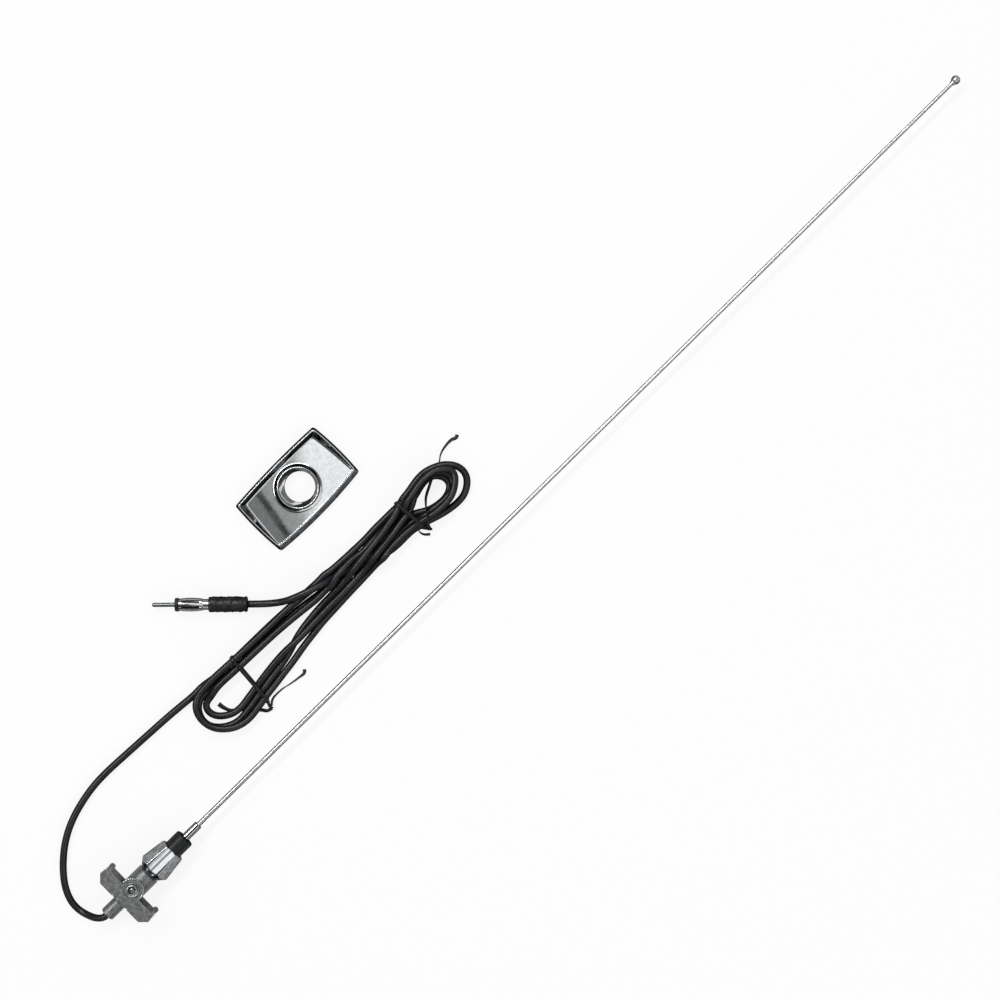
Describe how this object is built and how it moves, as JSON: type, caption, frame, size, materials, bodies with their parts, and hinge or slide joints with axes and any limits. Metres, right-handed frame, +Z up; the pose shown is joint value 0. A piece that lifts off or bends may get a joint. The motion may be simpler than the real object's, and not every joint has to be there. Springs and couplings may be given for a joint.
{
  "type": "car mast aerial",
  "caption": "Fixed-whip car aerial with swivelling claw foot, chromed clamp nut, coax lead tied in a hank, plug and loose dished bezel.",
  "frame": {"origin": "on the mast axis, at the shoulder of the body where the clamp nut and panel seat", "axes": "+X along the mast to its tip, +Z up from the surface that the aerial lies on, +Y to the side of the hank and bezel"},
  "size_m": [0.881, 0.1736, 0.0228],
  "materials": {
    "die_cast": "as-cast zinc alloy, fine sandy grain",
    "rivet_steel": "plated steel, turned",
    "nut_chrome": "bright chrome",
    "ferrule_chrome": "bright chrome",
    "bezel_chrome": "bright chrome over a die casting",
    "shell_nickel": "bright nickel plate",
    "insulator_black": "dark moulded plastic, satin",
    "seal_rubber": "moulded rubber",
    "nylon": "natural nylon",
    "whip_steel": "drawn stainless steel, polished",
    "brass_rod": "turned brass",
    "copper": "tinned copper",
    "dielectric_white": "white insulation",
    "cable_jacket": "smooth soft black jacket with a low sheen",
    "tie_plastic": "black plastic over a flat wire",
    "boot_rubber": "soft black vinyl with faint wrinkles"
  },
  "bodies": {
    "aerial": {"mount_body": "die_cast", "pivot_rivet_top": "rivet_steel", "pivot_rivet_bottom": "rivet_steel", "insulator": "insulator_black", "spigot_seal": "seal_rubber", "mast_ferrule": "ferrule_chrome", "whip": "whip_steel", "tip_ball": "whip_steel", "contact_rod": "brass_rod", "lower_bush": "nylon", "cable_ferrule": "die_cast", "jacket_end": "cable_jacket", "braid": "copper", "dielectric": "dielectric_white", "centre_conductor": "copper", "lead_cord": "cable_jacket", "hank_cord": "cable_jacket", "plug_cord": "cable_jacket", "lower_tie": "tie_plastic", "upper_tie": "tie_plastic", "plug_boot": "boot_rubber", "plug_shell": "shell_nickel", "plug_core": "nylon", "plug_flange": "insulator_black", "plug_pin": "shell_nickel", "plug_cable_end": "cable_jacket", "bezel": "bezel_chrome"},
    "claw_foot": {"claw": "die_cast"},
    "nut": {"clamp_nut": "nut_chrome"}
  },
  "joints": [
    {"name": "claw_swivel", "type": "hinge", "parent": "aerial", "child": "claw_foot", "pos_m": [-0.0165, 0, 0], "axis": [0, 0, 1], "range_deg": [-20, 20]},
    {"name": "nut_turn", "type": "hinge", "parent": "aerial", "child": "nut", "pos_m": [0.01, 0, 0], "axis": [1, 0, 0], "continuous": true}
  ]
}
